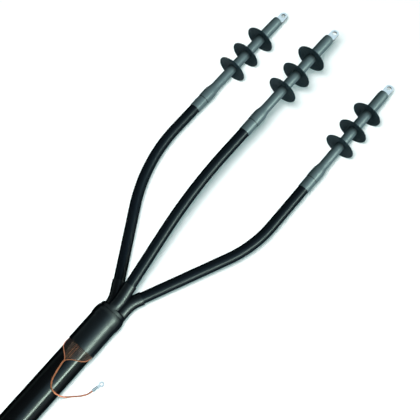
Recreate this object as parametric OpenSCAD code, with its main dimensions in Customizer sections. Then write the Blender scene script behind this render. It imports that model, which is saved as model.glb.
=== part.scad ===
// Outdoor termination of a three-core medium-voltage cable, laid out on the floor.
// Millimetres. +Y runs along the cable towards the lugs, +Z is up and the floor is z = 0.
// Stations along Y are counted from the shoulder of the breakout boot.

/* [Cable] */
// Thickness of the bedding over the cores
bedding_t = 6.15; // [5:0.05:9]
// Length of cable that shows below the boot
cable_stub = 309; // [260:1:500]
// Wall of the oversheath
sheath_t = 3.9; // [3:0.1:5]
// Diameter of one copper screen wire
screen_wire_d = 0.7; // [0.5:0.05:0.9]
// Number of copper screen wires round the cable
screen_wire_count = 72; // [48:4:84]
// Length of oversheath inside the boot
sheath_in_boot = 32; // [20:1:45]
// Length of bedding left standing beyond the oversheath
bedding_step = 15; // [10:1:20]

/* [Cores] */
// Diameter of the stranded conductor
conductor_d = 11.4; // [9:0.1:12]
// Wall of the insulation
insulation_t = 5.8; // [4.5:0.1:6.2]
// Wall of the semiconductive screen on the insulation
insulation_screen_t = 0.6; // [0.4:0.1:0.8]
// Gap between neighbouring cores inside the cable
core_gap = 1; // [0.8:0.1:2]
// Wall of the black tube shrunk over each core
core_tube_t = 3.1; // [2:0.1:3.6]
// Fitting gap left between two layers
fit = 0.1; // [0.05:0.01:0.2]

/* [Layout] */
// Place of the left phase across the cable axis
left_x = -220; // [-260:1:-190]
// Place of the middle phase across the cable axis
middle_x = -42; // [-60:1:20]
// Place of the right phase across the cable axis
right_x = 172; // [150:1:230]
// Height of the middle phase above the floor
middle_z = 121; // [105:1:140]
// Station where the left core turns out of its finger
left_turn_y = 39; // [36:1:60]
// Station where the middle core turns out of its finger
middle_turn_y = 48; // [36:1:60]
// Station where the right core turns out of its finger
right_turn_y = 59; // [36:1:64]
// Station where the cores turn parallel to the cable again
phase_turn_y = 384; // [370:1:410]
// Bend radius of a core in its finger, on its centre line
finger_bend_r = 75; // [60:1:80]
// Bend radius of the left core at its phase, on its centre line
left_bend_r = 500; // [350:10:520]
// Bend radius of the middle core at its phase, on its centre line
middle_bend_r = 1300; // [500:10:1400]
// Bend radius of the right core at its phase, on its centre line
right_bend_r = 340; // [300:10:520]

/* [Breakout boot] */
// Length of the boot's body below its shoulder
boot_l = 107; // [95:1:130]
// Wall of the boot at its shoulder
shoulder_t = 3.25; // [2.2:0.05:6]
// Wall of the boot at its lower edge
boot_t = 1.4; // [1:0.1:2]
// Wall of the crown between the fingers
crown_t = 8; // [6:0.5:10]
// Length of the swell below the shoulder
swell_l = 22; // [16:1:30]
// Rounding of the shoulder
shoulder_round = 31; // [24:1:36]
// Length of the collar band above the shoulder's groove
band_l = 6.5; // [4:0.5:9]
// Rounding of the crown's edge
crown_round = 5.5; // [3:0.5:6]
// Wall of a finger
finger_t = 2.3; // [1.5:0.1:2.6]
// Length of a finger along its core
finger_l = 73; // [66:1:90]

/* [Termination] */
// Station of the lower edge of the grey anti-tracking tube
tube_y = 641; // [620:1:680]
// Length of the anti-tracking tube
tube_l = 350; // [345:1:380]
// Length of its wide lower end
flare_l = 27; // [22:1:34]
// Length of the taper above the wide end
taper_l = 29; // [22:1:34]
// Wall of the anti-tracking tube
tube_t = 1.9; // [1.5:0.1:2.6]
// Wall of its wide lower end
flare_t = 0.9; // [0.6:0.1:1.4]
// Wall added at each shed, where the tube has shrunk more
tube_step_t = 0.5; // [0.3:0.1:0.8]
// Length of the sealing sleeve that shows below the tube
sleeve_show = 39; // [30:1:50]
// Wall of the sealing sleeve
sleeve_t = 1; // [0.8:0.1:1.5]
// Length of the stress control tube
stress_l = 138; // [110:1:160]
// Wall of the stress control tube
stress_t = 0.8; // [0.6:0.1:1]

/* [Sheds] */
// Diameter of a rain shed
shed_d = 90; // [80:1:100]
// Distance from the tube's lower edge to the lowest shed
shed_1_up = 130; // [120:1:140]
// Distance from the lowest shed to the middle one
shed_pitch_1 = 63; // [50:0.5:66]
// Distance from the middle shed to the top one
shed_pitch_2 = 69.5; // [50:0.5:72]
// Depth of the hollow underside of a shed
shed_dish = 4.5; // [2:0.5:7]
// Thickness of a shed at its rim
shed_rim_t = 2.4; // [1.6:0.1:4]
// Height of the collar that grips the tube
shed_collar_h = 11; // [9:0.5:14]
// Wall of that collar
shed_collar_t = 2.4; // [1.6:0.1:3.5]

/* [Lugs] */
// Diameter of the bolt hole in a phase lug
lug_hole_d = 13; // [8.5:0.5:15]
// Width of the palm
palm_w = 24; // [22:0.5:30]
// Thickness of the palm
palm_t = 5.5; // [4:0.1:6.5]
// Diameter of the barrel
barrel_d = 24; // [21:0.5:26]
// Length of the barrel inside the tube
barrel_l = 61; // [50:1:66]
// Distance from the tube's upper edge to the bolt hole
hole_up = 29.5; // [26:0.5:36]
// Wall of the sealant between barrel and tube
sealant_t = 1.1; // [0.8:0.1:1.5]

/* [Earthing] */
// Diameter of a strand of gathered screen wires
strand_d = 2.2; // [1.6:0.1:2.4]
// Diameter of the earth pigtail
pigtail_d = 3.8; // [3:0.1:4]
// Diameter of the bolt hole in the earth lug
earth_hole_d = 6.5; // [5:0.5:8.5]
// Width of the earth lug's palm
earth_palm_w = 14; // [12:0.5:18]
// Thickness of the earth lug's palm
earth_palm_t = 2.4; // [1.5:0.1:3]
// Outside diameter of the earth lug's barrel
earth_barrel_d = 8.4; // [7.6:0.1:8.6]
// Length of the earth lug's barrel
earth_barrel_l = 16; // [14:1:20]

/* [Hidden] */
$fn = 72;
PHASES = ["left", "middle", "right"];
PHASE_PIECES = [
    "conductor", "insulation", "insulation_screen", "core_tube", "sealing_sleeve", "stress_control_tube",
    "tracking_tube", "shed_1", "shed_2", "shed_3", "lug_sealant", "lug"
];

// Radii of the layers, from the conductor outwards
conductor_r = conductor_d / 2;
insulation_r = conductor_r + fit + insulation_t;
core_r = insulation_r + fit + insulation_screen_t;
core_tube_r = core_r + fit + core_tube_t;
sleeve_r = core_tube_r + fit + sleeve_t;
finger_r = core_tube_r + fit + finger_t;
stress_r = insulation_r + fit + stress_t;
barrel_r = barrel_d / 2;
sealant_r = barrel_r + fit + sealant_t;

// Places of the cores round the cable axis: in the cable and in the fingers
core_angles = [210, 90, 330];
finger_gap = 0.2;
core_spread = (2 * (core_r + fit) + core_gap) / sqrt(3);
finger_spread = (2 * finger_r + finger_gap) / sqrt(3);

// Radii of the cable, from the bedding outwards, and of the boot
bedding_r = core_spread + core_r + fit + bedding_t;
wire_r = screen_wire_d / 2;
wire_in_r = bedding_r + fit + wire_r;
sheath_in_r = wire_in_r + wire_r + fit;
cable_r = sheath_in_r + sheath_t;
wire_out_r = cable_r + fit + wire_r;
boot_in_r = wire_out_r + wire_r + fit;
boot_low_r = boot_in_r + boot_t;
shoulder_r = boot_in_r + shoulder_t;

// Stations along the cable
wire_tail = 2;
boot_y = -boot_l;
cable_end_y = boot_y - cable_stub;
sheath_end_y = boot_y + sheath_in_boot;
bedding_end_y = sheath_end_y + bedding_step;

// Profile of the boot: swell, rounded shoulder down to a groove, collar band and round edge of the crown
shoulder_drop = 5;
shoulder_turn = 26;
swell_rise = 10;
groove_t = 0.9;
band_step = 0.35;
band_fall = 1.3;
swell_y = -shoulder_drop - swell_l;
groove_y = shoulder_round * sin(shoulder_turn) - shoulder_drop;
groove_r = shoulder_r - shoulder_round * (1 - cos(shoulder_turn));
band_r = groove_r - band_fall;
band_y = groove_y + band_l;
crown_y = band_y + crown_round;
crown_in_y = crown_y - crown_t;
crown_slope_l = 12;
crown_slope_t = 4.5;

// Stations where the cores spread inside the boot, and their bend radius there
splay_up = 8;
splay_down = 14;
splay_ys = [bedding_end_y + splay_up, crown_in_y - splay_down];
splay_r = 60;

// Stations along the phases
tube_lap = 14;
screen_up = 4;
stress_lap = 10;
insulation_gap = 5;
barrel_stop = 11;
tube_end_y = tube_y + tube_l;
sleeve_y = tube_y - sleeve_show;
core_tube_end_y = tube_y + tube_lap;
taper_y = tube_y + flare_l;
screen_end_y = taper_y + screen_up;
stress_y = screen_end_y - stress_lap;
stress_end_y = stress_y + stress_l;
barrel_y = tube_end_y - barrel_l;
insulation_end_y = barrel_y - insulation_gap;
conductor_end_y = tube_end_y - barrel_stop - fit;
shed_1_y = tube_y + shed_1_up;
shed_ys = [shed_1_y, shed_1_y + shed_pitch_1, shed_1_y + shed_pitch_1 + shed_pitch_2];
hole_y = tube_end_y + hole_up;
lug_tip_y = hole_y + palm_w / 2;

// Outside radius of the anti-tracking tube: at its wide end, below each shed and over the lug barrel
tube_wide_r = sleeve_r + fit + flare_t;
tube_rs = [for (i = [0 : 2]) insulation_r + fit + tube_t + i * tube_step_t];
tube_top_r = sealant_r + fit + tube_t + tube_step_t;

// Heights of the axes: the boot's shoulder and the sheds of the outer phases lie on the floor
cable_z = shoulder_r;
turn_ys = [left_turn_y, middle_turn_y, right_turn_y];
phase_places = [[left_x, shed_d / 2], [middle_x, middle_z], [right_x, shed_d / 2]];
phase_bend_rs = [left_bend_r, middle_bend_r, right_bend_r];

// Seam between a straight run and a bend: length of its band, height above the tube and gap that it closes
seam_l = 1;
seam_t = 0.02;
seam_gap = 0.05;
// How far a cut reaches past the face that it opens
over = 1;

// The part's origin lies on the floor under the middle of its outline
mid_x = (left_x + right_x) / 2;
mid_y = (cable_end_y + lug_tip_y) / 2;

// Route of one gathered strand on the sheath: clock angle from the top, distance below the boot's edge
strand_route = [
    [1.8, 51.3], [1.8, 48], [6, 44.5], [13, 40], [22, 35.5], [38, 29.5],
    [46, 27], [62, 21], [77, 13], [88, 4.5], [92, 1.2]
];
strand_sides = 8;
strand_parts = 3;

// Route of the earth pigtail, with Y from the boot's edge: along the top of the cable, over its side,
// along the floor and into its lug
pigtail_route = [
    [0, -51.6, 82.8], [0.4, -59, 82.8], [2, -68, 82.8], [3.9, -80, 82.8], [6.9, -93, 82.4],
    [9.9, -103, 81.8], [14.3, -111.5, 80.4], [19.7, -117.5, 77.9], [25.6, -121, 73.9], [31.5, -122.5, 68],
    [36.5, -122.5, 60.2], [39.7, -122, 51.9], [41.4, -121.5, 42], [42.4, -121, 31.6], [44.5, -119.5, 22],
    [48, -116.5, 13], [53.5, -110.5, 6.2], [60, -103.5, 2.8], [67, -97, 2.2], [74, -90, 2.2],
    [80, -83, 2.3], [85, -75, 2.6], [88, -67, 3.7], [89.5, -61, 4.4], [91.8, -50.2, 4.4]
];
pigtail_sides = 10;
earth_lug_at = [89.5, -61, 4.4];
earth_lug_turn = -12;
earth_bore_l = 12;
earth_neck_l = 4.5;
earth_palm_lap = 3;

function unit(v) = v / norm(v);
function polar(r, a) = [r * cos(a), r * sin(a)];
function across(d) = unit(cross(d, abs(d.z) < 0.9 ? [0, 0, 1] : [1, 0, 0]));
function turn_angle(a, b, c) = acos(unit(b - a) * unit(c - b));
function tangent(a, b, c, bend_r) = bend_r * tan(turn_angle(a, b, c) / 2);

// Corner points of a core's centre line between two stations, and the bend radius at each corner
function core_place(k, spread) = [0, cable_z] + polar(spread, core_angles[k]);
function at(place, y) = [place.x, y, place.y];
function cable_corners(k) = let (spreads = [core_spread, finger_spread])
    [for (i = [0, 1]) at(core_place(k, spreads[i]), splay_ys[i])];
function phase_corners(k) = [at(core_place(k, finger_spread), turn_ys[k]), at(phase_places[k], phase_turn_y)];
function core_route(k, from_y, to_y) = concat(
    [at(core_place(k, core_spread), from_y)], cable_corners(k), phase_corners(k), [at(phase_places[k], to_y)]
);
function tube_route(k, from_y, to_y) = concat(
    [at(core_place(k, finger_spread), from_y)], phase_corners(k), [at(phase_places[k], to_y)]
);
function tube_bends(k) = [finger_bend_r, phase_bend_rs[k]];
function core_bends(k) = concat([splay_r, splay_r], tube_bends(k));

// Route of a finger, from the crown's inside to its end on the straight run that follows its bend
function finger_route(k, start, past) = let (p = phase_corners(k)) [
    at(core_place(k, finger_spread), crown_in_y + start), p[0],
    p[0] + unit(p[1] - p[0]) * (finger_l - (p[0].y - crown_y) + past)
];

// Frame with its Z axis along d
module lay(p, d) {
    x = across(d);
    y = cross(d, x);
    multmatrix([[x.x, y.x, d.x, p.x], [x.y, y.y, d.y, p.y], [x.z, y.z, d.z, p.z], [0, 0, 0, 1]]) children();
}

module ring(r_out, r_in) {
    difference() {
        circle(r_out);
        if (r_in > 0) circle(r_in);
    }
}

// Straight run of a tube from a to b
module run(a, b, r_out, r_in) {
    lay(a, unit(b - a)) linear_extrude(norm(b - a)) ring(r_out, r_in);
}

// Bend of a tube round the corner b
module bend(a, b, c, bend_r, r_out, r_in) {
    d1 = unit(b - a);
    d2 = unit(c - b);
    n = unit(d2 - (d2 * d1) * d1);
    centre = b - d1 * tangent(a, b, c, bend_r) + n * bend_r;
    z = cross(-n, d1);
    multmatrix([
        [-n.x, d1.x, z.x, centre.x], [-n.y, d1.y, z.y, centre.y], [-n.z, d1.z, z.z, centre.z], [0, 0, 0, 1]
    ]) rotate_extrude(angle = turn_angle(a, b, c)) translate([bend_r, 0]) ring(r_out, r_in);
}

// Hair-thin band over the seam between a straight run and its bend
module seam(p, d, r_out, r_in) {
    lay(p - d * seam_l / 2, d) linear_extrude(seam_l)
        ring(r_out + seam_t, r_in > 0 ? r_in - seam_t : 0);
}

// Tube along corner points, with a round bend at each inner corner
module routed(points, bends, r_out, r_in = 0) {
    last = len(points) - 1;
    corner_cuts = [for (i = [1 : last - 1]) tangent(points[i - 1], points[i], points[i + 1], bends[i - 1])];
    cut = concat([0], corner_cuts, [0]);
    for (i = [0 : last - 1]) {
        d = unit(points[i + 1] - points[i]);
        a = points[i] + d * cut[i];
        b = points[i + 1] - d * cut[i + 1];
        run(a + d * (i > 0 ? seam_gap : 0), b - d * (i < last - 1 ? seam_gap : 0), r_out, r_in);
        if (i > 0) seam(a, d, r_out, r_in);
        if (i < last - 1) seam(b, d, r_out, r_in);
    }
    for (i = [1 : last - 1]) bend(points[i - 1], points[i], points[i + 1], bends[i - 1], r_out, r_in);
}

// Cord of flat sides swept along its points
function tangents(points) = let (last = len(points) - 1)
    [for (i = [0 : last]) unit(points[min(i + 1, last)] - points[max(i - 1, 0)])];
function normals(dirs, n, i = 0) = i == len(dirs) ? [] :
    let (m = unit(n - (n * dirs[i]) * dirs[i])) concat([m], normals(dirs, m, i + 1));
module cord(points, d, sides) {
    dirs = tangents(points);
    ns = normals(dirs, across(dirs[0]));
    last = len(points) - 1;
    skin = [
        for (i = [0 : last]) for (j = [0 : sides - 1])
            let (a = 360 * j / sides) points[i] + d / 2 * (ns[i] * cos(a) + cross(dirs[i], ns[i]) * sin(a))
    ];
    sides_of = [
        for (i = [0 : last - 1]) for (j = [0 : sides - 1])
            let (k = (j + 1) % sides) [i * sides + k, i * sides + j, (i + 1) * sides + j, (i + 1) * sides + k]
    ];
    ends = [[for (j = [0 : sides - 1]) j], [for (j = [sides - 1 : -1 : 0]) last * sides + j]];
    polyhedron(skin, concat(sides_of, ends));
}

// Shift from the cable axis to the part's origin
module placed() translate([-mid_x, -mid_y, 0]) children();
// Solid of revolution about the cable axis, profile given as radius and station
module on_cable() placed() translate([0, 0, cable_z]) rotate([-90, 0, 0]) children();
// The same about the axis of one phase
module on_phase(k)
    placed() translate([phase_places[k].x, 0, phase_places[k].y]) rotate([-90, 0, 0]) children();
module turned(profile) rotate_extrude() polygon(profile);
module sleeve(from_y, to_y, r_out, r_in) {
    translate([0, 0, from_y]) linear_extrude(to_y - from_y) ring(r_out, r_in);
}

// Cable

// Black polymer jacket, cut back inside the boot
module oversheath() color([0.06, 0.07, 0.08])
    on_cable() sleeve(cable_end_y, sheath_end_y, cable_r, sheath_in_r);

// Extruded filler that holds the three cores
module bedding() color([0.16, 0.16, 0.17])
    on_cable() difference() {
        translate([0, 0, cable_end_y]) cylinder(h = bedding_end_y - cable_end_y, r = bedding_r);
        for (k = [0 : 2]) {
            p = polar(core_spread, core_angles[k]);
            translate([p.x, -p.y, cable_end_y - over])
                cylinder(h = bedding_end_y - cable_end_y + 2 * over, r = core_r + fit);
        }
    }

// Copper wires of the screen: up inside the sheath, folded over its end and back down outside it to the
// gathered strand, or to the boot's edge on the underside
strand_r = strand_d / 2;
strand_path_r = cable_r + fit + strand_r;
strand_falls = [for (i = [1 : len(strand_route) - 1]) strand_route[i]];
strand_last_clock = strand_falls[len(strand_falls) - 1][0];
function strand_y(clock) = boot_y - lookup(clock, strand_falls);
function strand_slope(clock) = (strand_y(clock + 1) - strand_y(clock - 1)) / (2 * PI / 180 * strand_path_r);
function strand_top_y(clock) = let (slope = strand_slope(clock))
    strand_y(clock) + strand_r * norm([1, slope]) + wire_r * abs(slope) + fit;
function wire_clock(i) = let (a = 360 * i / screen_wire_count) a > 180 ? a - 360 : a;
function wire_end_y(a) = abs(a) > strand_last_clock ? boot_y + wire_tail : strand_top_y(abs(a));
module screen_wire(a) {
    fold_r = (wire_out_r - wire_in_r) / 2;
    fold_y = sheath_end_y + fit;
    end_y = wire_end_y(a);
    on_cable() rotate([0, 0, a - 90]) {
        translate([wire_in_r, 0, cable_end_y]) cylinder(h = fold_y - seam_gap - cable_end_y, r = wire_r);
        translate([wire_in_r + fold_r, 0, fold_y]) rotate([90, 0, 0])
            rotate_extrude(angle = 180) translate([fold_r, 0]) circle(wire_r);
        translate([wire_out_r, 0, end_y]) cylinder(h = fold_y - seam_gap - end_y, r = wire_r);
        for (r = [wire_in_r, wire_out_r])
            translate([r, 0, fold_y - seam_l / 4]) cylinder(h = seam_l / 2, r = wire_r + seam_t);
    }
}
module screen_wires() color([0.72, 0.42, 0.26])
    for (i = [0 : screen_wire_count - 1]) screen_wire(wire_clock(i));

// Earthing

// Two strands of gathered wires that run down both sides of the cable to the pigtail, close on its sheath
function on_sheath(p, side) =
    [side * strand_path_r * sin(p[0]), boot_y - p[1], cable_z + strand_path_r * cos(p[0])];
function between(points, parts) = let (last = len(points) - 1) concat(
    [
        for (i = [0 : last - 1]) for (j = [0 : parts - 1])
            points[i] + (points[i + 1] - points[i]) * j / parts
    ],
    [points[last]]
);
module gathering_strands() color([0.75, 0.43, 0.27])
    placed() for (side = [-1, 1])
        cord([for (p = between(strand_route, strand_parts)) on_sheath(p, side)], strand_d, strand_sides);

module earth_pigtail() color([0.78, 0.45, 0.28])
    placed() translate([0, boot_y, 0]) cord(pigtail_route, pigtail_d, pigtail_sides);

// Tinned lug crimped on the pigtail
module earth_lug() color([0.85, 0.87, 0.9])
    placed() translate([0, boot_y, 0] + earth_lug_at) rotate([0, 0, earth_lug_turn]) {
        r = earth_barrel_d / 2;
        palm_y = earth_barrel_l + earth_neck_l + earth_palm_w / 2;
        neck_y = earth_barrel_l - earth_palm_lap;
        difference() {
            union() {
                rotate([-90, 0, 0]) cylinder(h = earth_barrel_l, r = r);
                translate([0, 0, -r]) linear_extrude(earth_palm_t) {
                    translate([0, palm_y]) circle(d = earth_palm_w);
                    translate([-r, neck_y]) square([2 * r, palm_y - neck_y]);
                }
            }
            translate([0, -over, 0]) rotate([-90, 0, 0])
                cylinder(h = earth_bore_l + over, r = pigtail_d / 2 + fit);
            translate([0, palm_y, -r - over]) cylinder(h = earth_palm_t + 2 * over, d = earth_hole_d);
        }
    }

// Breakout boot

// One moulding: straight body over the sheath end, swell, rounded shoulder, groove, collar band, crown and
// three fingers
module breakout_boot() color([0.08, 0.09, 0.1]) {
    swell_parts = 8;
    shoulder_parts = 6;
    crown_step = 15;
    swell = [
        for (i = [0 : swell_parts]) let (s = i / swell_parts)
            [boot_low_r + (shoulder_r - boot_low_r) * (1 - cos(180 * s)) / 2, swell_y + s * swell_rise]
    ];
    shoulder = [
        for (i = [0 : shoulder_parts])
            [shoulder_r - shoulder_round, -shoulder_drop]
                + polar(shoulder_round, shoulder_turn * i / shoulder_parts)
    ];
    groove = [[groove_r - groove_t, groove_y + groove_t / 2], [groove_r - band_step, groove_y + groove_t]];
    crown = [for (a = [0 : crown_step : 90]) [band_r - crown_round, band_y] + polar(crown_round, a)];
    outside = concat([[0, boot_y], [boot_low_r, boot_y]], swell, shoulder, groove, crown, [[0, crown_y]]);
    inside = [
        [0, boot_y - over], [boot_in_r, boot_y - over], [boot_in_r, crown_in_y - crown_slope_l],
        [boot_in_r - crown_slope_t, crown_in_y], [0, crown_in_y]
    ];
    difference() {
        union() {
            on_cable() turned(outside);
            placed() for (k = [0 : 2]) routed(finger_route(k, over, 0), [finger_bend_r], finger_r);
        }
        on_cable() turned(inside);
        placed() for (k = [0 : 2]) routed(finger_route(k, -over, over), [finger_bend_r], core_tube_r + fit);
    }
}

// Cores

module conductor(k) color([0.74, 0.44, 0.27])
    placed() routed(core_route(k, cable_end_y, conductor_end_y), core_bends(k), conductor_r);

module insulation(k) color([0.9, 0.88, 0.82])
    placed()
        routed(core_route(k, cable_end_y, insulation_end_y), core_bends(k), insulation_r, conductor_r + fit);

module insulation_screen(k) color([0.13, 0.13, 0.14])
    placed() routed(core_route(k, cable_end_y, screen_end_y), core_bends(k), core_r, insulation_r + fit);

// Black tube from the crown of the boot to the termination
module core_tube(k) color([0.08, 0.09, 0.1])
    placed() routed(tube_route(k, crown_in_y, core_tube_end_y), tube_bends(k), core_tube_r, core_r + fit);

// Terminations

module sealing_sleeve(k) color([0.45, 0.54, 0.54])
    on_phase(k) sleeve(sleeve_y, core_tube_end_y, sleeve_r, core_tube_r + fit);

// Thin tube that spreads the field where the insulation screen ends
module stress_control_tube(k) color([0.12, 0.12, 0.13]) {
    step_l = 5;
    on_phase(k) turned([
        [core_r + fit, stress_y], [core_r + fit + stress_t, stress_y],
        [core_r + fit + stress_t, screen_end_y], [stress_r, screen_end_y + step_l], [stress_r, stress_end_y],
        [insulation_r + fit, stress_end_y], [insulation_r + fit, screen_end_y + fit],
        [core_r + fit, screen_end_y + fit]
    ]);
}

// Grey tube from the sealing sleeve to the lug: wide end, smooth taper, a step at each shed and a top that
// covers the barrel
module tracking_tube(k) color([0.47, 0.56, 0.56]) {
    edge_t = 0.3;
    edge_l = 8;
    step_l = 4;
    taper_parts = 8;
    top_round = 1.3;
    top_round_l = 10;
    throat_r = core_r + stress_t + 2 * fit;
    throat_gap = 2;
    taper = [
        for (i = [0 : taper_parts]) let (s = i / taper_parts)
            [tube_rs[0] + (tube_wide_r - tube_rs[0]) * (1 + cos(180 * s)) / 2, taper_y + s * taper_l]
    ];
    steps = [
        for (i = [0 : 2])
            let (y = shed_ys[i] + shed_dish + shed_collar_h, r = i < 2 ? tube_rs[i + 1] : tube_top_r)
                each [[tube_rs[i], y], [r, y + step_l]]
    ];
    outside = concat(
        [[tube_wide_r - edge_t, tube_y], [tube_wide_r, tube_y + edge_l]], taper, steps,
        [[tube_top_r, tube_end_y - top_round_l], [tube_top_r - top_round, tube_end_y]]
    );
    inside = [
        [sealant_r + fit, tube_end_y], [sealant_r + fit, barrel_y],
        [insulation_r + fit, insulation_end_y], [insulation_r + fit, stress_end_y + fit],
        [stress_r + fit, stress_end_y + fit], [stress_r + fit, taper_y + taper_l],
        [throat_r, screen_end_y + throat_gap], [throat_r, stress_y - throat_gap],
        [sleeve_r + fit, core_tube_end_y + fit], [sleeve_r + fit, tube_y]
    ];
    on_phase(k) turned(concat(outside, inside));
}

// Rain shed: dished disc with a thin round rim and a collar on its upper side, blended into the disc
module shed(k, i) color([0.2, 0.24, 0.25]) {
    blend_r = 5;
    arc_step = 30;
    rim_r = shed_rim_t / 2;
    bore_r = tube_rs[i] + fit;
    collar_r = bore_r + shed_collar_t;
    disc_y = shed_dish + shed_rim_t;
    rim = [for (a = [-90 : arc_step : 90]) [shed_d / 2 - rim_r, rim_r] + polar(rim_r, a)];
    blend = [for (a = [270 : -arc_step : 180]) [collar_r + blend_r, disc_y + blend_r] + polar(blend_r, a)];
    collar_y = shed_dish + shed_collar_h;
    on_phase(k) translate([0, 0, shed_ys[i]])
        turned(concat([[bore_r, shed_dish]], rim, blend, [[collar_r, collar_y], [bore_r, collar_y]]));
}

// Mastic that seals the barrel to the tube
module lug_sealant(k) color([0.25, 0.24, 0.2]) {
    end_gap = 2;
    on_phase(k) sleeve(barrel_y + fit, tube_end_y - end_gap, sealant_r, barrel_r + fit);
}

// Tinned lug: bored barrel, slanted neck and flat palm with its bolt hole
module lug(k) color([0.8, 0.83, 0.87])
    placed() translate([phase_places[k].x, 0, phase_places[k].y]) {
        neck_l = 12;
        difference() {
            union() {
                translate([0, barrel_y, 0]) rotate([-90, 0, 0]) cylinder(h = barrel_l, r = barrel_r);
                intersection() {
                    translate([0, tube_end_y, 0]) rotate([-90, 0, 0]) cylinder(h = neck_l, r = barrel_r);
                    translate([-barrel_r, tube_end_y, -barrel_r]) rotate([90, 0, 90]) linear_extrude(barrel_d)
                        polygon([[0, 0], [0, barrel_d], [neck_l, palm_t], [neck_l, 0]]);
                }
                translate([0, 0, -barrel_r]) linear_extrude(palm_t) {
                    translate([0, hole_y]) circle(d = palm_w);
                    translate([-palm_w / 2, tube_end_y]) square([palm_w, hole_y - tube_end_y]);
                }
            }
            translate([0, barrel_y - over, 0]) rotate([-90, 0, 0])
                cylinder(h = barrel_l - barrel_stop + over, r = conductor_r + fit);
            translate([0, hole_y, -barrel_r - over]) cylinder(h = palm_t + 2 * over, d = lug_hole_d);
        }
    }

oversheath();
bedding();
screen_wires();
breakout_boot();
gathering_strands();
earth_pigtail();
earth_lug();
for (k = [0 : 2]) {
    conductor(k);
    insulation(k);
    insulation_screen(k);
    core_tube(k);
    sealing_sleeve(k);
    stress_control_tube(k);
    tracking_tube(k);
    shed(k, 0);
    shed(k, 1);
    shed(k, 2);
    lug_sealant(k);
    lug(k);
}
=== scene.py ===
from math import cos, pi, radians, sin

import bpy
from mathutils import Matrix, Vector


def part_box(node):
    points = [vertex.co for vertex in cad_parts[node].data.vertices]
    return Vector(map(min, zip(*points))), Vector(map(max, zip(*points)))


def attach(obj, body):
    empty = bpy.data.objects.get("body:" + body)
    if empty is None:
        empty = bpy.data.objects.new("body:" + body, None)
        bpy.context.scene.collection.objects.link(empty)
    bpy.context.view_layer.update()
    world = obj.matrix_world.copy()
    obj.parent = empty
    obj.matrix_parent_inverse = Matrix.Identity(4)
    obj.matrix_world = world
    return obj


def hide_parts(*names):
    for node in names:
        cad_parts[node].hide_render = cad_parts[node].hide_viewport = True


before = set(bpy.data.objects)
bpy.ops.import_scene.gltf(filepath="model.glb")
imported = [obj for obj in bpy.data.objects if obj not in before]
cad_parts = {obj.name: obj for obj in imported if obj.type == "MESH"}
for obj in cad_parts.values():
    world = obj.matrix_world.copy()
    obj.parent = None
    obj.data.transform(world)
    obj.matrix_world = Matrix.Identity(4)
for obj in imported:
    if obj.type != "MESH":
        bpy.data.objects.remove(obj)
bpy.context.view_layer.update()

# Cable jacket: extruded black polymer, smooth and glossy, with faint lines along the cable from the die
# and duller patches where it has been handled. It is cut square at the lower end.
JACKET_BLACK = (0.0035, 0.0046, 0.0056)
LONG_PATCHES = (1, 0.08, 1)
DIE_LINES = (1, 0.015, 1)


def surface(material):
    return material.node_tree.nodes["Principled BSDF"]


def new_material(name, color, roughness, metallic=0.0, specular=0.5):
    material = bpy.data.materials.new(name)
    material.use_nodes = True
    sockets = surface(material).inputs
    sockets["Base Color"].default_value = (*color, 1)
    sockets["Roughness"].default_value = roughness
    sockets["Metallic"].default_value = metallic
    sockets["Specular IOR Level"].default_value = specular
    return material


def add_node(material, kind, **sockets):
    """A new shader node with some sockets set; their names have underscores for spaces."""
    made = material.node_tree.nodes.new(kind)
    for name, value in sockets.items():
        made.inputs[name.replace("_", " ")].default_value = value
    return made


def link(material, start, end):
    material.node_tree.links.new(start, end)


def object_place(material, centre=(0, 0, 0), stretch=(1, 1, 1)):
    """The surface point in the object's own metres, counted from a centre and stretched."""
    place = add_node(material, "ShaderNodeTexCoord")
    shift = add_node(material, "ShaderNodeMapping", Location=[-c * s for c, s in zip(centre, stretch)])
    shift.inputs["Scale"].default_value = stretch
    link(material, place.outputs["Object"], shift.inputs["Vector"])
    return shift.outputs["Vector"]


def noise(material, scale, stretch=(1, 1, 1)):
    texture = add_node(material, "ShaderNodeTexNoise", Scale=scale, Detail=4.0)
    link(material, object_place(material, stretch=stretch), texture.inputs["Vector"])
    return texture.outputs["Fac"]


def vary_roughness(material, factor, low, high):
    """Roughness from low to high over the middle of a noise, where most of its values lie."""
    span = add_node(material, "ShaderNodeMapRange", From_Min=0.3, From_Max=0.7, To_Min=low, To_Max=high)
    link(material, factor, span.inputs["Value"])
    link(material, span.outputs["Result"], surface(material).inputs["Roughness"])


def add_bump(material, factor, height):
    """Bump of a real height in metres, laid over any bump that is there already."""
    normal = surface(material).inputs["Normal"]
    bump = add_node(material, "ShaderNodeBump", Strength=1.0, Distance=height)
    link(material, factor, bump.inputs["Height"])
    if normal.is_linked:
        link(material, normal.links[0].from_socket, bump.inputs["Normal"])
    link(material, bump.outputs["Normal"], normal)


def fade_gloss(material):
    """Keeps the gloss where the surface faces the eye and fades it towards the rim, as on dusty rubber."""
    gloss = surface(material).inputs["Specular IOR Level"]
    facing = add_node(material, "ShaderNodeLayerWeight", Blend=0.5)
    fade = add_node(
        material, "ShaderNodeMapRange", From_Min=0.12, From_Max=0.42, To_Min=gloss.default_value, To_Max=0.0
    )
    link(material, facing.outputs["Facing"], fade.inputs["Value"])
    link(material, fade.outputs["Result"], gloss)


def dress(name, material):
    """Gives one of the solids its material."""
    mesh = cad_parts[name].data
    mesh.materials.clear()
    mesh.materials.append(material)


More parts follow.
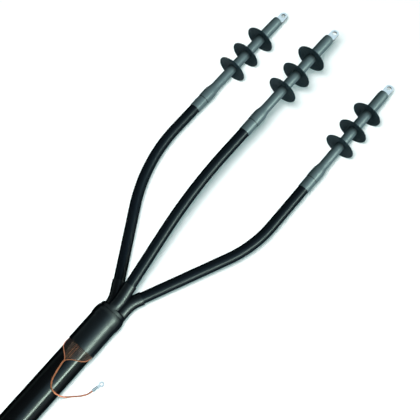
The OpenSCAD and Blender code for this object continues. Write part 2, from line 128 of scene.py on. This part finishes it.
jacket_black = new_material("jacket_black", JACKET_BLACK, roughness=0.22, specular=0.2)
fade_gloss(jacket_black)
vary_roughness(jacket_black, noise(jacket_black, 60, LONG_PATCHES), low=0.2, high=0.24)
add_bump(jacket_black, noise(jacket_black, 900, DIE_LINES), height=0.000003)
dress("oversheath", jacket_black)
jacket_low, jacket_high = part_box("oversheath")
CABLE_X = (jacket_low.x + jacket_high.x) / 2
CABLE_Z = (jacket_low.z + jacket_high.z) / 2
CABLE_R = (jacket_high.x - jacket_low.x) / 2

# Inside of the cable, which shows at its cut end: grey filler round three cores, each with a black
# semiconductive skin on pale cross-linked insulation and a conductor of stranded copper.
PHASES = ("left", "middle", "right")
FILLER_GREY = (0.03, 0.03, 0.032)
SKIN_BLACK = (0.01, 0.01, 0.011)
INSULATION_WHITE = (0.74, 0.71, 0.62)
INSULATION_DARK = (0.7, 0.66, 0.56)
INSULATION_PALE = (0.78, 0.75, 0.67)
COPPER = (0.92, 0.34, 0.17)
DULL_COPPER = (0.66, 0.22, 0.11)


def dress_phases(piece, material):
    for phase in PHASES:
        dress(f"{phase}_{piece}", material)


def vary_color(material, factor, stops, socket="Base Color"):
    """Base colour, or another socket, from a ramp; stops are pairs of place and colour."""
    ramp = add_node(material, "ShaderNodeValToRGB")
    elements = ramp.color_ramp.elements
    while len(elements) < len(stops):
        elements.new(1.0)
    for element, (place, color) in zip(elements, stops):
        element.position = place
        element.color = (*color, 1)
    link(material, factor, ramp.inputs["Fac"])
    link(material, ramp.outputs["Color"], surface(material).inputs[socket])


filler_grey = new_material("filler_grey", FILLER_GREY, roughness=0.8)
add_bump(filler_grey, noise(filler_grey, 700), height=0.0003)
dress("bedding", filler_grey)

skin_black = new_material("skin_black", SKIN_BLACK, roughness=0.6)
add_bump(skin_black, noise(skin_black, 800), height=0.00005)
dress_phases("insulation_screen", skin_black)
dress_phases("stress_control_tube", skin_black)

insulation_white = new_material("insulation_white", INSULATION_WHITE, roughness=0.45)
cloudy = [(0.35, INSULATION_DARK), (0.65, INSULATION_PALE)]
vary_color(insulation_white, noise(insulation_white, 300), cloudy)
add_bump(insulation_white, noise(insulation_white, 900), height=0.00004)
dress_phases("insulation", insulation_white)

conductor_copper = new_material("conductor_copper", COPPER, roughness=0.38, metallic=1)
vary_color(conductor_copper, noise(conductor_copper, 250), [(0.35, DULL_COPPER), (0.65, COPPER)])
add_bump(conductor_copper, noise(conductor_copper, 1500), height=0.00005)
dress_phases("conductor", conductor_copper)
metal_pieces = [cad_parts[f"{phase}_conductor"] for phase in PHASES]

# Cut ends of the conductor wires: one in the middle, six round it and twelve outside. Each is a round copper
# wire that stands out a little, with its edge rounded after the saw cut.
CORE_WIRE_R = 0.00112
RING_PITCH = 0.00226
RING_TURN = 0.2
WIRE_RINGS = ((0, 1), (1, 6), (2, 12))
WIRE_STANDS_OUT = 0.0004
WIRE_EDGE = 0.0002
CUT_FACE_DEPTH = 0.0005


def pick(*pieces):
    """Selects these pieces alone and makes the first one active."""
    bpy.ops.object.select_all(action="DESELECT")
    for piece in pieces:
        piece.select_set(True)
    bpy.context.view_layer.objects.active = pieces[0]


def join_pieces(pieces, name):
    pick(*pieces)
    bpy.ops.object.join()
    pieces[0].name = name
    return pieces[0]


def finish_piece(piece, stands_for=()):
    """Places the mesh of a new piece in the part's frame and lets it ride with the part."""
    pick(piece)
    bpy.ops.object.transform_apply(location=True, rotation=True, scale=True)
    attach(piece, "root")
    if stands_for:
        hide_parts(*stands_for)


bpy.ops.object.select_all(action="DESELECT")
bpy.ops.mesh.primitive_cylinder_add(
    vertices=12, radius=CORE_WIRE_R, depth=2 * WIRE_STANDS_OUT, rotation=(pi / 2, 0, 0)
)
wire_end = bpy.context.object
rounding = wire_end.modifiers.new("edge", "BEVEL")
rounding.width = WIRE_EDGE
rounding.segments = 2
bpy.ops.object.modifier_apply(modifier="edge")
wire_end.data.materials.append(conductor_copper)
for phase in PHASES:
    cut_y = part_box(f"{phase}_conductor")[0].y
    core_vertices = [v.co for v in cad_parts[f"{phase}_conductor"].data.vertices]
    cut_face = [v for v in core_vertices if v.y < cut_y + CUT_FACE_DEPTH]
    centre = sum(cut_face, Vector()) / len(cut_face)
    wires = []
    for ring, count in WIRE_RINGS:
        for step in range(count):
            turn = 2 * pi * step / count + RING_TURN * ring
            across, up = ring * RING_PITCH * cos(turn), ring * RING_PITCH * sin(turn)
            wire = wire_end.copy()
            wire.data = wire_end.data.copy()
            wire.location = (centre.x + across, cut_y, centre.z + up)
            bpy.context.collection.objects.link(wire)
            wires.append(wire)
    wire_ends = join_pieces(wires, f"{phase}_conductor_wire_ends")
    finish_piece(wire_ends)
    metal_pieces.append(wire_ends)
bpy.data.objects.remove(wire_end)

# Copper screen wires: they come out from under the boot, folded back over the jacket, and run down to the
# strands. Bare drawn copper, tarnished brown except for two wires on top that were handled last.
WIRE_BROWN = (0.09, 0.054, 0.046)
WIRE_BRIGHT = (0.24, 0.1, 0.062)
BRIGHT_WIRES = ((-0.0042, -0.0025), (0.0025, 0.0042))
TOP_HALF = 0.01
COLOR_EDGE = 0.001


def share_along(material, axis, start, length):
    """How far along an axis the surface point lies, from 0 at the start to 1 at the end of the length."""
    centre, stretch = [0, 0, 0], [1, 1, 1]
    centre["XYZ".index(axis)] = start
    stretch["XYZ".index(axis)] = 1 / length
    split = add_node(material, "ShaderNodeSeparateXYZ")
    link(material, object_place(material, centre, stretch), split.inputs["Vector"])
    return split.outputs[axis]


screen_copper = new_material("screen_copper", WIRE_BROWN, roughness=0.5, metallic=1)
wire_stops = [(0.0, WIRE_BROWN)]
for wire_sides in BRIGHT_WIRES:
    low, high = [(x + TOP_HALF) / (2 * TOP_HALF) for x in wire_sides]
    wire_stops += [(low - COLOR_EDGE, WIRE_BROWN), (low, WIRE_BRIGHT)]
    wire_stops += [(high, WIRE_BRIGHT), (high + COLOR_EDGE, WIRE_BROWN)]
vary_color(screen_copper, share_along(screen_copper, "X", CABLE_X - TOP_HALF, 2 * TOP_HALF), wire_stops)
dress("screen_wires", screen_copper)

# Gathered strands: bundles of the screen wires that run down both sides of the jacket and meet on top. Each
# is twisted from bare copper wires and lies close on the round jacket. The points of the route give degrees
# from the cable's top and metres below the boot's edge.
BOOT_EDGE_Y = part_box("breakout_boot")[0].y
STRAND_D = 0.0022
STRAND_WIRES = 7
STRAND_LAY = 0.014
STRAND_LIFT = 0.0001
STRAND_PATH_R = CABLE_R + STRAND_LIFT + STRAND_D / 2
STRAND_ROUTE = [
    (1.8, 0.0513), (1.8, 0.048), (6, 0.0445), (13, 0.04), (22, 0.0355), (38, 0.0295),
    (46, 0.027), (62, 0.021), (77, 0.013), (88, 0.0045), (92, 0.0012),
]
CORD_STEP = 0.0009
POINTS_PER_WIRE = 5
WIRE_ROOT = 0.84
WIRE_ROUNDNESS = 0.6
CORD_CREASE = radians(50)


def smooth_route(points, step):
    """Points about one step apart on a smooth curve through the given points."""
    route = []
    for i in range(len(points) - 1):
        before, a = points[max(i - 1, 0)], points[i]
        b, after = points[i + 1], points[min(i + 2, len(points) - 1)]
        parts = max(1, round((b - a).length / step))
        for j in range(parts):
            t = j / parts
            route.append(
                a * (1 + t * t * (2 * t - 3)) + b * t * t * (3 - 2 * t)
                + (b - before) / 2 * t * (1 - t) ** 2 + (after - a) / 2 * t * t * (t - 1)
            )
    return route + [points[-1]]


def twisted_cord(name, points, diameter, wires, lay_length, material):
    """A cord of round wires twisted together, swept along its points and made a mesh."""
    bpy.ops.object.select_all(action="DESELECT")
    bpy.ops.curve.primitive_bezier_circle_add()
    section = bpy.context.object
    section.data.splines.clear()
    outline = section.data.splines.new("POLY")
    outline.use_cyclic_u = True
    outline.points.add(wires * POINTS_PER_WIRE - 1)
    for i, point in enumerate(outline.points):
        turn = 2 * pi * i / (wires * POINTS_PER_WIRE)
        bulge = abs(cos(turn * wires / 2)) ** WIRE_ROUNDNESS
        r = diameter / 2 * (WIRE_ROOT + (1 - WIRE_ROOT) * bulge)
        point.co = (r * cos(turn), r * sin(turn), 0, 1)
    bpy.ops.curve.primitive_bezier_curve_add()
    cord = bpy.context.object
    cord.name = name
    cord.location = (0, 0, 0)
    cord.data.splines.clear()
    cord.data.dimensions = "3D"
    cord.data.bevel_mode = "OBJECT"
    cord.data.bevel_object = section
    cord.data.use_fill_caps = True
    spline = cord.data.splines.new("POLY")
    spline.points.add(len(points) - 1)
    run = 0.0
    for i, (point, place) in enumerate(zip(spline.points, points)):
        if i:
            run += (place - points[i - 1]).length
        point.co = (*place, 1)
        point.tilt = 2 * pi * run / lay_length
    pick(cord)
    bpy.ops.object.convert(target="MESH")
    bpy.ops.object.shade_smooth_by_angle(angle=CORD_CREASE)
    bpy.data.objects.remove(section)
    cord.data.materials.clear()
    cord.data.materials.append(material)
    return cord


bright_copper = new_material("bright_copper", COPPER, roughness=0.42, metallic=1)
vary_color(bright_copper, noise(bright_copper, 260), [(0.3, DULL_COPPER), (0.6, COPPER)])
vary_roughness(bright_copper, noise(bright_copper, 700), low=0.38, high=0.5)
strands = []
for name, side in (("left_strand", -1), ("right_strand", 1)):
    strand_marks = [
        Vector((
            CABLE_X + side * STRAND_PATH_R * sin(radians(clock)),
            BOOT_EDGE_Y - down,
            CABLE_Z + STRAND_PATH_R * cos(radians(clock)),
        ))
        for clock, down in STRAND_ROUTE
    ]
    strand_route = smooth_route(strand_marks, CORD_STEP)
    for point in strand_route:
        outwards = Vector((point.x - CABLE_X, 0, point.z - CABLE_Z)).normalized() * STRAND_PATH_R
        point.x, point.z = CABLE_X + outwards.x, CABLE_Z + outwards.z
    strands.append(twisted_cord(name, strand_route, STRAND_D, STRAND_WIRES, STRAND_LAY, bright_copper))
gathered_strands = join_pieces(strands, "gathered_strands")
finish_piece(gathered_strands, ["gathering_strands"])
metal_pieces.append(gathered_strands)

# Earth pigtail: a bare stranded copper cord that comes off the strands on top of the cable, bends over its
# side and lies on the floor up to its lug. The points of the route are in millimetres, from the cable's
# middle, from the boot's edge and from the floor.
PIGTAIL_D = 0.0038
PIGTAIL_WIRES = 8
PIGTAIL_LAY = 0.03
PIGTAIL_ROUTE = [
    (0, -51.6, 82.8), (0.4, -59, 82.8), (2, -68, 82.8), (3.9, -80, 82.8), (6.9, -93, 82.4),
    (9.9, -103, 81.8), (14.3, -111.5, 80.4), (19.7, -117.5, 77.9), (25.6, -121, 73.9), (31.5, -122.5, 68),
    (36.5, -122.5, 60.2), (39.7, -122, 51.9), (41.4, -121.5, 42), (42.4, -121, 31.6), (44.5, -119.5, 22),
    (48, -116.5, 13), (53.5, -110.5, 6.2), (60, -103.5, 2.8), (67, -97, 2.2), (74, -90, 2.2),
    (80, -83, 2.3), (85, -75, 2.6), (88, -67, 3.7), (89.5, -61, 4.4), (91.8, -50.2, 4.4),
]
MM = 0.001
pigtail_marks = [Vector((CABLE_X + x * MM, BOOT_EDGE_Y + y * MM, z * MM)) for x, y, z in PIGTAIL_ROUTE]
pigtail_route = smooth_route(pigtail_marks, CORD_STEP)
pigtail = twisted_cord("pigtail", pigtail_route, PIGTAIL_D, PIGTAIL_WIRES, PIGTAIL_LAY, bright_copper)
finish_piece(pigtail, ["earth_pigtail"])
metal_pieces.append(pigtail)

# Earth lug: pressed and tinned, with its barrel crimped on the pigtail and a round palm for the earthing
# bolt. The edges are broken. The upright faces round the palm and in its hole are bare cut metal, painted
# near black: part real, part painted shade on the hole's wall and the palm's sides.
TIN = (0.66, 0.75, 0.79)
CUT_AND_SHADE_BROWN = (0.05, 0.044, 0.04)
EARTH_PALM = 0.014
EARTH_EDGE = 0.0004
EDGE_STEPS = 3
MERGE_REACH = 0.00002
FLAT_ANGLE = radians(1)
SHARP_ANGLE = radians(35)
UPRIGHT = 0.2
tinned = new_material("tinned", TIN, roughness=0.2, metallic=1)
vary_roughness(tinned, noise(tinned, 300), low=0.16, high=0.25)
add_bump(tinned, noise(tinned, 900), height=0.00003)
# Bare cut metal, made near black as painted shade on the palm's sides and the wall of its hole.
cut_metal_and_shade = new_material("cut_metal_and_shade", CUT_AND_SHADE_BROWN, roughness=0.5, metallic=1)
add_bump(cut_metal_and_shade, noise(cut_metal_and_shade, 1200), height=0.00003)


def rounded_copy(node, name, edge, palm_length):
    """Tinned lug copy, edges rounded; the palm's upright faces are bare cut metal, darkened as painted
    shade.
    """
    pick(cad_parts[node])
    bpy.ops.object.duplicate()
    piece = bpy.context.object
    piece.name = name
    bpy.ops.object.mode_set(mode="EDIT")
    bpy.ops.mesh.select_all(action="SELECT")
    bpy.ops.mesh.remove_doubles(threshold=MERGE_REACH)
    bpy.ops.mesh.dissolve_limited(angle_limit=FLAT_ANGLE)
    bpy.ops.object.mode_set(mode="OBJECT")
    bevel = piece.modifiers.new("edges", "BEVEL")
    bevel.width = edge
    bevel.segments = EDGE_STEPS
    bevel.limit_method = "ANGLE"
    bevel.angle_limit = SHARP_ANGLE
    bevel.use_clamp_overlap = True
    bpy.ops.object.modifier_apply(modifier="edges")
    bpy.ops.object.shade_smooth_by_angle(angle=SHARP_ANGLE)
    flats = piece.modifiers.new("flats", "WEIGHTED_NORMAL")
    flats.keep_sharp = True
    bpy.ops.object.modifier_apply(modifier="flats")
    piece.data.materials.clear()
    piece.data.materials.append(tinned)
    piece.data.materials.append(cut_metal_and_shade)
    palm_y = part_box(node)[1].y - palm_length
    # The palm's upright faces take the dark cut metal, partly painted shade.
    for face in piece.data.polygons:
        if face.center.y > palm_y and abs(face.normal.z) < UPRIGHT:
            face.material_index = 1
    return piece


earth_lug = rounded_copy("earth_lug", "earth_lug_tinned", EARTH_EDGE, EARTH_PALM)
finish_piece(earth_lug, ["earth_lug"])
metal_pieces.append(earth_lug)

# Breakout boot: one black moulding of heat-shrink polymer, shrunk on the cable. It is satin with a fine
# grain, and duller in the band round its crown, where it stretches from the cable to the cores.
BOOT_BLACK = (0.0058, 0.0088, 0.0115)
CROWN_Y = BOOT_EDGE_Y + 0.10325
CROWN_LENGTH = 0.032
SATIN, DULL = (0.37, 0.37, 0.37), (0.62, 0.62, 0.62)
boot_black = new_material("boot_black", BOOT_BLACK, roughness=0.38, specular=0.3)
fade_gloss(boot_black)
along_crown = share_along(boot_black, "Y", CROWN_Y, CROWN_LENGTH)
dull_crown = [(0.0, SATIN), (0.25, DULL), (0.75, DULL), (1.0, SATIN)]
vary_color(boot_black, along_crown, dull_crown, "Roughness")
add_bump(boot_black, noise(boot_black, 1400), height=0.00002)
dress("breakout_boot", boot_black)

# Core tubes: black heat-shrink tubing over each core, from the boot's fingers to the grey sleeves. It is
# satin, a little glossier than the boot, and shrunk tight round the bends.
TUBE_BLACK = (0.006, 0.0105, 0.015)
tube_black = new_material("tube_black", TUBE_BLACK, roughness=0.34, specular=0.11)
fade_gloss(tube_black)
vary_roughness(tube_black, noise(tube_black, 40), low=0.32, high=0.36)
dress_phases("core_tube", tube_black)

# Grey anti-tracking tube: blue-grey heat-shrink polymer with a soft sheen and fine lines round it, left by
# the shrinking. Just below each shed it is painted darker, with a ragged edge: painted shade from the shed.
TUBE_GREY = (0.12, 0.183, 0.194)
# Colour of the painted shade on the tube just below each shed.
SHED_SHADE_GREY = (0.028, 0.042, 0.046)
SHADE_REACH = 0.024
SHADE_END = [(-0.00175, SHED_SHADE_GREY), (0.0014, SHED_SHADE_GREY), (0.0021, TUBE_GREY)]
SHADE_EDGE_SPREAD = 0.012
SHRINK_LINES = (0.06, 1, 0.06)
SHED_RANKS = (1, 2, 3)


def shrunk_grey(name):
    """The grey finish of tube and sleeve, still without its painted shade."""
    material = new_material(name, TUBE_GREY, roughness=0.43, specular=0.36)
    fade_gloss(material)
    vary_roughness(material, noise(material, 60), low=0.41, high=0.46)
    add_bump(material, noise(material, 500, SHRINK_LINES), height=0.00003)
    return material


def add_math(material, operation, *terms):
    """The result of a sum on sockets and numbers."""
    made = add_node(material, "ShaderNodeMath")
    made.operation = operation
    for term, socket in zip(terms, made.inputs):
        if isinstance(term, bpy.types.NodeSocket):
            link(material, term, socket)
        else:
            socket.default_value = term
    return made.outputs[0]


tracking_grey = shrunk_grey("tracking_grey")
tube_low, tube_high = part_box("left_tracking_tube")
tube_length = tube_high.y - tube_low.y
along_tube = share_along(tracking_grey, "Y", tube_low.y, tube_length)
# Painted shade: the tube turns darker just below each shed, along a noisy edge.
painted_shade_place = add_math(tracking_grey, "MULTIPLY_ADD", noise(tracking_grey, 120), SHADE_EDGE_SPREAD, along_tube)
tube_stops = [(0.0, TUBE_GREY)]
for rank in SHED_RANKS:
    shed_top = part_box(f"left_shed_{rank}")[1].y - tube_low.y
    tube_stops.append(((shed_top - SHADE_REACH) / tube_length, TUBE_GREY))
    tube_stops += [((shed_top + step) / tube_length, color) for step, color in SHADE_END]
vary_color(tracking_grey, painted_shade_place, tube_stops)
dress_phases("tracking_tube", tracking_grey)

# Sealing sleeve: the same grey polymer in a shorter piece below the tube. A dark line is painted on it just
# below the tube's edge: painted shade in the crease where the tube's edge ends on it.
CREASE = 0.0024
CREASE_SHADE_GREY = (0.035, 0.052, 0.055)
sleeve_grey = shrunk_grey("sleeve_grey")
# Painted shade: a dark band on the sleeve just below the tube's edge.
crease_shade_place = share_along(sleeve_grey, "Y", tube_low.y - 2 * CREASE, 2 * CREASE)
vary_color(sleeve_grey, crease_shade_place, [(0.45, TUBE_GREY), (0.6, CREASE_SHADE_GREY), (1.0, CREASE_SHADE_GREY)])
dress_phases("sealing_sleeve", sleeve_grey)

# Rain sheds: a darker grey than the tube, matt, with faint rings from the tool. Each is a piece
# of its own that is slid over the tube and shrunk on by its collar.
SHED_GREY = (0.022, 0.048, 0.06)
SHED_PALE = (0.08, 0.135, 0.155)
RING_SPACING = 0.0045
WAVE_PERIOD = 2 * pi / 20
for phase in PHASES:
    shed_grey = new_material(f"{phase}_shed_grey", SHED_GREY, roughness=0.5, specular=0.04)
    vary_roughness(shed_grey, noise(shed_grey, 120), low=0.46, high=0.56)
    shed_low, shed_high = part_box(f"{phase}_shed_1")
    axis = ((shed_low.x + shed_high.x) / 2, 0, (shed_low.z + shed_high.z) / 2)
    rings = add_node(shed_grey, "ShaderNodeTexWave", Scale=WAVE_PERIOD / RING_SPACING, Distortion=0.0)
    rings.wave_type = "RINGS"
    rings.rings_direction = "Y"
    link(shed_grey, object_place(shed_grey, axis), rings.inputs["Vector"])
    vary_color(shed_grey, rings.outputs["Fac"], [(0.6, SHED_GREY), (1.0, SHED_PALE)])
    add_bump(shed_grey, rings.outputs["Fac"], height=0.0003)
    for rank in SHED_RANKS:
        dress(f"{phase}_shed_{rank}", shed_grey)

# Sealing mastic between tube and lug: a soft dark paste that shows as a thin ring at the tube's end. It is
# wound on the barrel and melts when the tube shrinks over it.
MASTIC_BROWN = (0.05, 0.046, 0.035)
sealant_brown = new_material("sealant_brown", MASTIC_BROWN, roughness=0.7)
add_bump(sealant_brown, noise(sealant_brown, 400), height=0.0003)
dress_phases("lug_sealant", sealant_brown)

# Phase lugs: tinned metal with a bored barrel under the tube and a flat palm for the bolt. All edges are
# broken, and the palm keeps faint marks of the press.
LUG_PALM = 0.03
LUG_EDGE = 0.0008
for phase in PHASES:
    lug = rounded_copy(f"{phase}_lug", f"{phase}_lug_tinned", LUG_EDGE, LUG_PALM)
    finish_piece(lug, [f"{phase}_lug"])
    metal_pieces.append(lug)

# Floor: a plain white sheet that keeps the soft shadow. It glows more and more away from the part, and a low
# white wall stands far off all round it, so that the ground looks white as far as it goes.
FLOOR_SIZE = 40
FLOOR_DROP = 0.0002
BACKDROP_R = 19
BACKDROP_HEIGHT = 3
BACKDROP_SIDES = 64
FLOOR_TINT = (0.6, 1.0, 0.97)
FLOOR_GLOW = 0.24
FAR_GLOW = 1 / min(FLOOR_TINT)
GLOW_REACH = (1.2, 3.0)
SEEN_WHITE = (0.8, 0.8, 0.8, 1)
BOUNCE_GREY = (0.3, 0.3, 0.3, 1)
MIX_FACTOR, MIX_A, MIX_B, MIX_RESULT = 0, 6, 7, 2
bpy.ops.object.select_all(action="DESELECT")
bpy.ops.mesh.primitive_plane_add(size=FLOOR_SIZE, location=(0, 0, -FLOOR_DROP))
floor = bpy.context.object
floor.name = "floor"
bpy.ops.object.select_all(action="DESELECT")
bpy.ops.mesh.primitive_cylinder_add(
    vertices=BACKDROP_SIDES, radius=BACKDROP_R, depth=BACKDROP_HEIGHT, end_fill_type="NOTHING",
    location=(0, 0, BACKDROP_HEIGHT / 2),
)
backdrop = bpy.context.object
backdrop.name = "backdrop"

floor_white = new_material("floor_white", FLOOR_TINT, roughness=0.9, specular=0.0)
floor_sockets = surface(floor_white).inputs
light_path = add_node(floor_white, "ShaderNodeLightPath")
seen = light_path.outputs["Is Camera Ray"]
for ray in ("Is Glossy Ray", "Is Transmission Ray"):
    seen = add_math(floor_white, "MAXIMUM", seen, light_path.outputs[ray])
from_middle = add_node(floor_white, "ShaderNodeVectorMath")
from_middle.operation = "LENGTH"
link(floor_white, object_place(floor_white), from_middle.inputs[0])
rising_glow = add_node(
    floor_white, "ShaderNodeMapRange",
    From_Min=GLOW_REACH[0], From_Max=GLOW_REACH[1], To_Min=FLOOR_GLOW, To_Max=FAR_GLOW,
)
link(floor_white, from_middle.outputs["Value"], rising_glow.inputs["Value"])
seen_glow = add_math(floor_white, "MULTIPLY", seen, rising_glow.outputs["Result"])
link(floor_white, seen_glow, floor_sockets["Emission Strength"])
floor_sockets["Emission Color"].default_value = (*FLOOR_TINT, 1)
tone = add_node(floor_white, "ShaderNodeMix")
tone.data_type = "RGBA"
link(floor_white, seen, tone.inputs[MIX_FACTOR])
tone.inputs[MIX_A].default_value = BOUNCE_GREY
tone.inputs[MIX_B].default_value = SEEN_WHITE
link(floor_white, tone.outputs[MIX_RESULT], floor_sockets["Base Color"])
floor.data.materials.append(floor_white)
backdrop.data.materials.append(floor_white)

# Light: a soft key from the right for the part alone, and a soft lamp beside the camera for the floor alone,
# which casts the shadow. Long strips on the right draw the highlight along the cable and its cores, and a
# pale sheet overhead shows in the metal.
WORLD_TINT = (0.78, 0.95, 1.0, 1)
WORLD_LIGHT = 0.12
KEY_DIRECTION = (-0.77, 0.0, -0.64)
KEY_LIGHT = 2.6
KEY_WIDTH = radians(30)
CAMERA_PLACE = (0.4623, -0.4344, 1.8593)
FLOOR_LAMP_ASIDE = (-0.28, 0.13, 0)
FLOOR_LIGHT = 48
FLOOR_LAMP_R = 0.3
world = bpy.data.worlds.new("studio")
bpy.context.scene.world = world
world.use_nodes = True
world.node_tree.nodes["Background"].inputs["Color"].default_value = WORLD_TINT
world.node_tree.nodes["Background"].inputs["Strength"].default_value = WORLD_LIGHT


def light_group(name, pieces, state="INCLUDE"):
    """A collection of light receivers: the given pieces alone, or with EXCLUDE all the others."""
    group = bpy.data.collections.new(name)
    for piece in pieces:
        group.objects.link(piece)
    for member in group.collection_objects:
        member.light_linking.link_state = state
    return group


def add_lamp(name, kind, receivers):
    lamp = bpy.data.objects.new(name, bpy.data.lights.new(name, kind))
    bpy.context.scene.collection.objects.link(lamp)
    lamp.light_linking.receiver_collection = receivers
    return lamp


key = add_lamp("key", "SUN", light_group("floor_left_out", [floor], "EXCLUDE"))
key.rotation_euler = Vector(KEY_DIRECTION).to_track_quat("-Z", "Y").to_euler()
key.data.energy = KEY_LIGHT
key.data.angle = KEY_WIDTH
key.visible_glossy = False

floor_lamp = add_lamp("floor_lamp", "POINT", light_group("floor_alone", [floor]))
floor_lamp.location = Vector(CAMERA_PLACE) + Vector(FLOOR_LAMP_ASIDE)
floor_lamp.data.energy = FLOOR_LIGHT
floor_lamp.data.shadow_soft_size = FLOOR_LAMP_R
floor_lamp.data.use_nodes = True
lamp_tree = floor_lamp.data.node_tree
evenly = lamp_tree.nodes.new("ShaderNodeLightFalloff")
evenly.inputs["Strength"].default_value = 1.0
lamp_tree.links.new(evenly.outputs["Constant"], lamp_tree.nodes["Emission"].inputs["Strength"])
floor_lamp.visible_glossy = False
floor_lamp.visible_camera = False


def sheet_lamp(name, place, lean, width, length, brightness, color, receivers):
    """A flat lamp that only shows in gloss; brightness is what a mirror would show, 1 being white."""
    sheet = add_lamp(name, "AREA", receivers)
    sheet.location = place
    sheet.rotation_euler = (0, lean, 0)
    sheet.data.shape = "RECTANGLE"
    sheet.data.size = width
    sheet.data.size_y = length
    sheet.data.energy = brightness * pi * width * length
    sheet.data.color = color
    sheet.visible_diffuse = False
    sheet.visible_camera = False


STRIP_DISTANCE = 4
STRIP_LENGTH = 9
GREEN_WHITE = (0.78, 1.0, 0.86)
GREEN_SHADE = (0.68, 1.0, 0.92)
BLUE_SHADE = (0.5, 0.82, 1.0)
# Name, degrees from the top, degrees of spread as seen from the cable, brightness and colour.
STRIPS = (
    ("highlight", 62, 8, 65, GREEN_WHITE),
    ("near_glow", 51, 13, 5, GREEN_SHADE),
    ("middle_glow", 36, 16, 2.5, BLUE_SHADE),
    ("far_glow", 18, 20, 1.1, BLUE_SHADE),
)
metal_left_out = light_group("metal_left_out", metal_pieces, "EXCLUDE")
for name, from_top, spread, brightness, color in STRIPS:
    lean = radians(from_top)
    place = (CABLE_X + STRIP_DISTANCE * sin(lean), 0, CABLE_Z + STRIP_DISTANCE * cos(lean))
    width = STRIP_DISTANCE * radians(spread)
    sheet_lamp(name, place, lean, width, STRIP_LENGTH, brightness, color, metal_left_out)

OVERHEAD_PLACE = (-0.4, 1.2, 3)
OVERHEAD_SIZE = (4, 5)
OVERHEAD_LIGHT = 0.95
OVERHEAD_TINT = (0.84, 0.95, 1.0)
metal_alone = light_group("metal_alone", metal_pieces)
sheet_lamp("overhead_sheet", OVERHEAD_PLACE, 0, *OVERHEAD_SIZE, OVERHEAD_LIGHT, OVERHEAD_TINT, metal_alone)

# Camera: where the photograph was taken from, above the cable's right side. Its place and angles were solved
# from the nine sheds, which are all of one size.
CAMERA_TURN = 0.687795
CAMERA_TILT = pi / 2 - 1.21771
CAMERA_ROLL = 0.0082147
SENSOR_WIDTH = 36
LENS = 60.685
camera_data = bpy.data.cameras.new("camera")
camera_data.sensor_width = SENSOR_WIDTH
camera_data.lens = LENS
camera = bpy.data.objects.new("camera", camera_data)
bpy.context.scene.collection.objects.link(camera)
camera.matrix_world = (
    Matrix.Translation(CAMERA_PLACE)
    @ Matrix.Rotation(CAMERA_TURN, 4, "Z")
    @ Matrix.Rotation(CAMERA_TILT, 4, "X")
    @ Matrix.Rotation(CAMERA_ROLL, 4, "Z")
)
bpy.context.scene.camera = camera
bpy.context.scene.view_settings.view_transform = "Standard"
